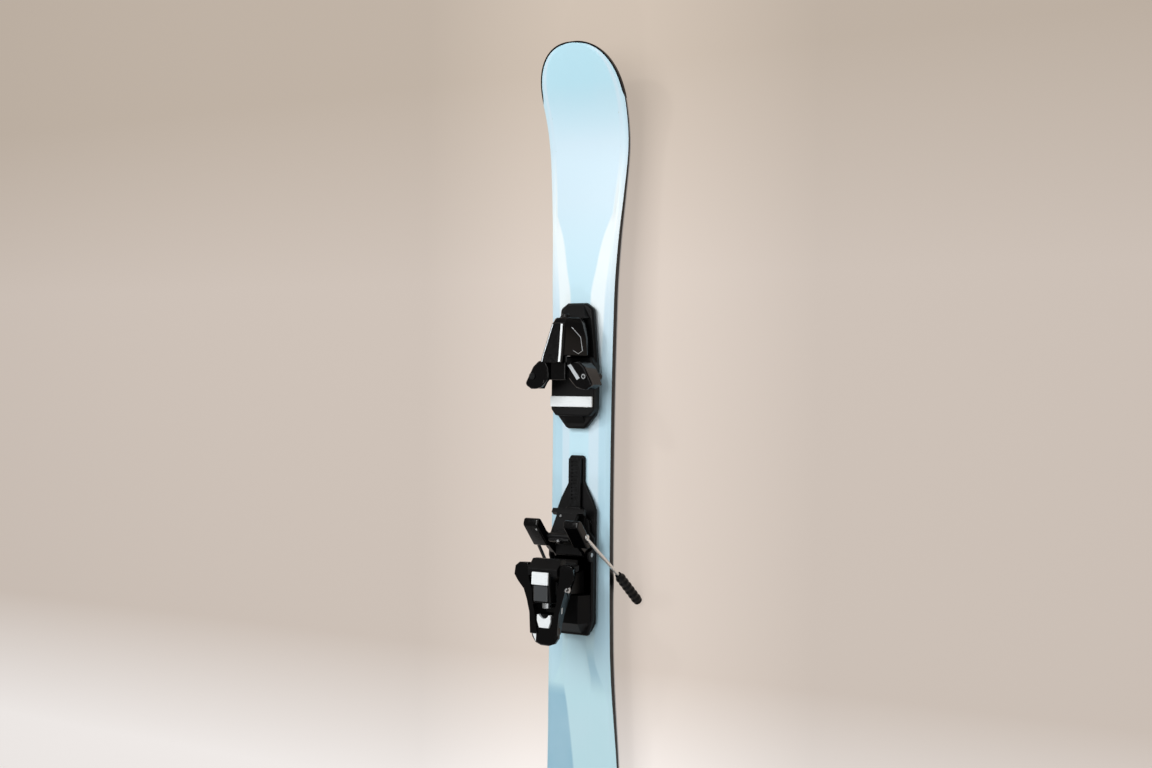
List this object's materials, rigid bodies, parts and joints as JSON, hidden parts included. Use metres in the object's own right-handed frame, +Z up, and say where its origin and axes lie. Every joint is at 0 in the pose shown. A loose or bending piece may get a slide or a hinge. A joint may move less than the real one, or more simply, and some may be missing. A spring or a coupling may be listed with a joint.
{
  "type": "race ski",
  "caption": "Short shaped alpine race ski with a cambered sandwich build, a sprung toe piece, a sliding step-in heel piece and a ski brake, shown deployed.",
  "frame": {"origin": "on the running surface, on the middle line, below the middle of the boot", "axes": "+X along the ski to the tip, +Y to the skier's left, +Z up from the running surface"},
  "size_m": [0.9166, 0.1066, 0.1293],
  "materials": {
    "topsheet_blue": "satin printed film",
    "sidewall_black": "smooth ABS",
    "sintered_base": "ground polyethylene",
    "glass_laminate": "cured glass fibre",
    "wood_core": "planed strips",
    "steel": "brushed",
    "brass": "turned",
    "black_matte_plastic": "fine moulded grain",
    "black_gloss_plastic": "gloss moulded",
    "white_plastic": "satin moulded",
    "window_plastic": "clear polycarbonate"
  },
  "bodies": {
    "ski": {"base_sheet": "sintered_base", "lower_laminate": "glass_laminate", "edge_left": "steel", "edge_right": "steel", "sidewall_left": "sidewall_black", "sidewall_right": "sidewall_black", "tip_guard": "sidewall_black", "tail_guard": "sidewall_black", "core": "wood_core", "upper_laminate": "glass_laminate", "topsheet": "topsheet_blue", "toe_base": "black_matte_plastic", "toe_rest": "white_plastic", "toe_housing": "black_gloss_plastic", "toe_cover": "black_gloss_plastic", "toe_spring": "steel", "toe_piston": "steel", "wing_pin_left": "steel", "wing_pin_right": "steel", "toe_screw_front_left": "steel", "toe_screw_front_right": "steel", "toe_screw_rear_left": "steel", "toe_screw_rear_right": "steel", "heel_track": "black_matte_plastic", "heel_rail": "steel", "heel_screw_front_left": "steel", "heel_screw_front_right": "steel", "heel_screw_rear_left": "steel", "heel_screw_rear_right": "steel"},
    "toe_wing_left": {"wing_left": "black_gloss_plastic"},
    "toe_wing_right": {"wing_right": "black_gloss_plastic"},
    "toe_screw": {"toe_setting_screw": "steel"},
    "toe_nut": {"toe_spring_nut": "brass"},
    "carriage": {"heel_carriage": "black_matte_plastic", "pressure_spring": "steel", "brake_pin_left": "steel", "brake_pin_right": "steel"},
    "cup": {"heel_cup": "black_matte_plastic", "heel_spring": "steel", "heel_window": "window_plastic", "heel_front_trim": "white_plastic", "heel_pin_left": "steel", "heel_pin_right": "steel"},
    "heel_mark": {"heel_setting_mark": "white_plastic"},
    "heel_screw": {"heel_setting_screw": "steel"},
    "lever": {"heel_lever": "black_gloss_plastic", "lever_trim": "white_plastic"},
    "brake_arms": {"brake_arm_left": "steel", "brake_arm_right": "steel", "brake_claw_left": "black_matte_plastic", "brake_claw_right": "black_matte_plastic", "brake_shoe_left": "black_matte_plastic", "brake_shoe_right": "black_matte_plastic"},
    "pedal": {"brake_pedal": "black_matte_plastic"}
  },
  "joints": [
    {"name": "toe_wing_left_swing", "type": "hinge", "parent": "ski", "child": "toe_wing_left", "pos_m": [0.1062, 0.0334, 0.045], "axis": [0, 0, -1], "range_deg": [0, 22], "stiffness_Nm_per_rad": 3, "springref_deg": -17.19},
    {"name": "toe_wing_right_swing", "type": "hinge", "parent": "ski", "child": "toe_wing_right", "pos_m": [0.1062, -0.0334, 0.045], "axis": [0, 0, 1], "range_deg": [0, 22], "stiffness_Nm_per_rad": 3, "springref_deg": -17.19},
    {"name": "toe_setting_turn", "type": "hinge", "parent": "ski", "child": "toe_screw", "pos_m": [0.16, 0, 0.043], "axis": [1, 0, 0], "range_deg": [-724, 364]},
    {"name": "toe_nut_travel", "type": "slide", "parent": "ski", "child": "toe_nut", "axis": [-1, 0, 0], "range_m": [-0.004, 0.002], "deforming": ["toe_spring"]},
    {"name": "heel_length_slide", "type": "slide", "parent": "ski", "child": "carriage", "axis": [1, 0, 0], "range_m": [-0.008, 0.02]},
    {"name": "heel_cup_swing", "type": "hinge", "parent": "carriage", "child": "cup", "pos_m": [-0.122, 0, 0.069], "axis": [0, -1, 0], "range_deg": [0, 32]},
    {"name": "heel_lever_swing", "type": "hinge", "parent": "cup", "child": "lever", "pos_m": [-0.122, 0, 0.069], "axis": [0, -1, 0], "range_deg": [0, 6.5]},
    {"name": "heel_setting_turn", "type": "hinge", "parent": "cup", "child": "heel_screw", "pos_m": [-0.1343, 0, 0.074], "axis": [1, 0, 0], "range_deg": [-360, 720]},
    {"name": "heel_mark_travel", "type": "slide", "parent": "cup", "child": "heel_mark", "axis": [1, 0, 0], "range_m": [-0.0021, 0.0041]},
    {"name": "brake_arm_swing", "type": "hinge", "parent": "carriage", "child": "brake_arms", "pos_m": [-0.088, 0, 0.026], "axis": [0, 1, 0], "range_deg": [0, 40], "stiffness_Nm_per_rad": 1.5, "springref_deg": -68.75},
    {"name": "brake_pedal_fold", "type": "hinge", "parent": "brake_arms", "child": "pedal", "pos_m": [-0.0675, 0, 0.05], "axis": [0, -1, 0], "range_deg": [0, 72.5]}
  ],
  "couplings": [
    {"joint": "toe_setting_turn", "follows": "toe_nut_travel", "rad_per_m": 3141.6},
    {"joint": "heel_lever_swing", "follows": "heel_cup_swing", "ratio": 0.2},
    {"joint": "heel_mark_travel", "follows": "heel_setting_turn", "m_per_rad": 0.00031831},
    {"joint": "brake_pedal_fold", "follows": "brake_arm_swing", "ratio": 1.8075}
  ]
}
